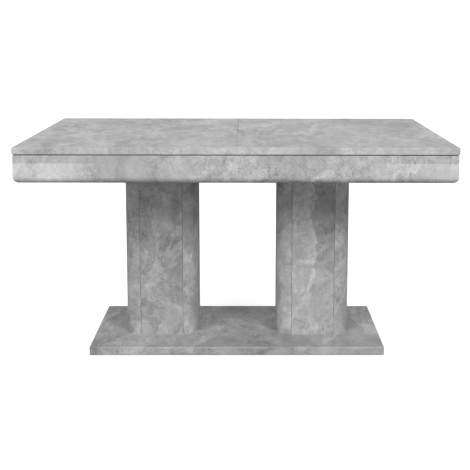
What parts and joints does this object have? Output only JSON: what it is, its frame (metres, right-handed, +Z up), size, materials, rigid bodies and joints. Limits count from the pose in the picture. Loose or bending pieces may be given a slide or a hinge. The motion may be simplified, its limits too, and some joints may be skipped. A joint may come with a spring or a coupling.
{
  "type": "extendable dining table",
  "caption": "Rectangular dining table on twin rounded columns and a base plate, whose split top slides apart over a fixed apron box that stores a folding leaf.",
  "frame": {"origin": "on the floor, under the centre of the closed table", "axes": "+X along the table's length to the right seen from the front, +Y to the back, +Z up; the front is at -Y"},
  "size_m": [1.4, 0.9, 0.75],
  "materials": {
    "decor_board": "satin concrete-look foil on board",
    "plain_board": "plain pale grey faced board",
    "beech": "planed, clear lacquer",
    "steel": "zinc plated",
    "black_plastic": "moulded",
    "white_plastic": "moulded",
    "felt": "pressed felt"
  },
  "bodies": {
    "frame": {"base_plate": "decor_board", "floor_glides": "black_plastic", "column_bolts": "steel", "left_column_front_panel": "decor_board", "left_column_back_panel": "decor_board", "left_column_inner_panel": "decor_board", "left_column_outer_panel": "decor_board", "left_column_mouldings": "decor_board", "left_column_bottom_block": "plain_board", "left_column_top_block": "plain_board", "right_column_front_panel": "decor_board", "right_column_back_panel": "decor_board", "right_column_inner_panel": "decor_board", "right_column_outer_panel": "decor_board", "right_column_mouldings": "decor_board", "right_column_bottom_block": "plain_board", "right_column_top_block": "plain_board", "left_bearer_plate": "plain_board", "right_bearer_plate": "plain_board", "apron_front": "decor_board", "apron_back": "decor_board", "apron_left": "decor_board", "apron_right": "decor_board", "corner_blocks": "beech", "apron_brackets": "steel", "frame_screws": "steel", "track_front": "steel", "track_back": "steel", "track_end_stops": "black_plastic", "leaf_rest_strips": "felt", "pinion_bridge": "plain_board", "pinion_axle": "steel", "pinion_retaining_ring": "steel"},
    "left_half": {"left_top_slab": "decor_board", "left_battens": "beech", "left_runner_members": "steel", "left_rack": "white_plastic", "left_top_screws": "steel", "catch_pivot_bolt": "steel"},
    "right_half": {"right_top_slab": "decor_board", "right_battens": "beech", "right_runner_members": "steel", "right_rack": "white_plastic", "right_top_screws": "steel", "alignment_pins": "beech", "catch_striker": "steel"},
    "left_cages": {"left_ball_cages": "white_plastic", "left_bearing_balls": "steel"},
    "right_cages": {"right_ball_cages": "white_plastic", "right_bearing_balls": "steel"},
    "pinion": {"sync_pinion": "white_plastic"},
    "catch": {"seam_catch_lever": "steel"},
    "leaf_lower": {"leaf_lower_half": "decor_board", "leaf_lower_dowels": "beech", "leaf_hinge_lower_plates": "steel", "leaf_hinge_pins": "steel"},
    "leaf_upper": {"leaf_upper_half": "decor_board", "leaf_upper_dowels": "beech", "leaf_hinge_upper_plates": "steel"}
  },
  "joints": [
    {"name": "left_half_slide", "type": "slide", "parent": "frame", "child": "left_half", "axis": [-1, 0, 0], "range_m": [0, 0.2]},
    {"name": "right_half_slide", "type": "slide", "parent": "frame", "child": "right_half", "axis": [1, 0, 0], "range_m": [0, 0.2]},
    {"name": "left_cage_slide", "type": "slide", "parent": "frame", "child": "left_cages", "axis": [-1, 0, 0], "range_m": [0, 0.1]},
    {"name": "right_cage_slide", "type": "slide", "parent": "frame", "child": "right_cages", "axis": [1, 0, 0], "range_m": [0, 0.1]},
    {"name": "pinion_spin", "type": "hinge", "parent": "frame", "child": "pinion", "pos_m": [0, 0.33, 0.698], "axis": [0, 0, -1], "range_deg": [0, 510]},
    {"name": "catch_turn", "type": "hinge", "parent": "left_half", "child": "catch", "pos_m": [-0.03, -0.29, 0.7235], "axis": [0, 0, 1], "range_deg": [0, 90]},
    {"name": "leaf_lift", "type": "slide", "parent": "frame", "child": "leaf_lower", "axis": [0, 0, 1], "range_m": [0, 0.013]},
    {"name": "leaf_unfold", "type": "hinge", "parent": "leaf_lower", "child": "leaf_upper", "pos_m": [0, 0.225, 0.677], "axis": [-1, 0, 0], "range_deg": [0, 1.7]}
  ],
  "couplings": [
    {"joint": "right_half_slide", "follows": "left_half_slide", "ratio": 1},
    {"joint": "left_cage_slide", "follows": "left_half_slide", "ratio": 0.5},
    {"joint": "right_cage_slide", "follows": "left_half_slide", "ratio": 0.5},
    {"joint": "pinion_spin", "follows": "left_half_slide", "rad_per_m": 44.444}
  ]
}
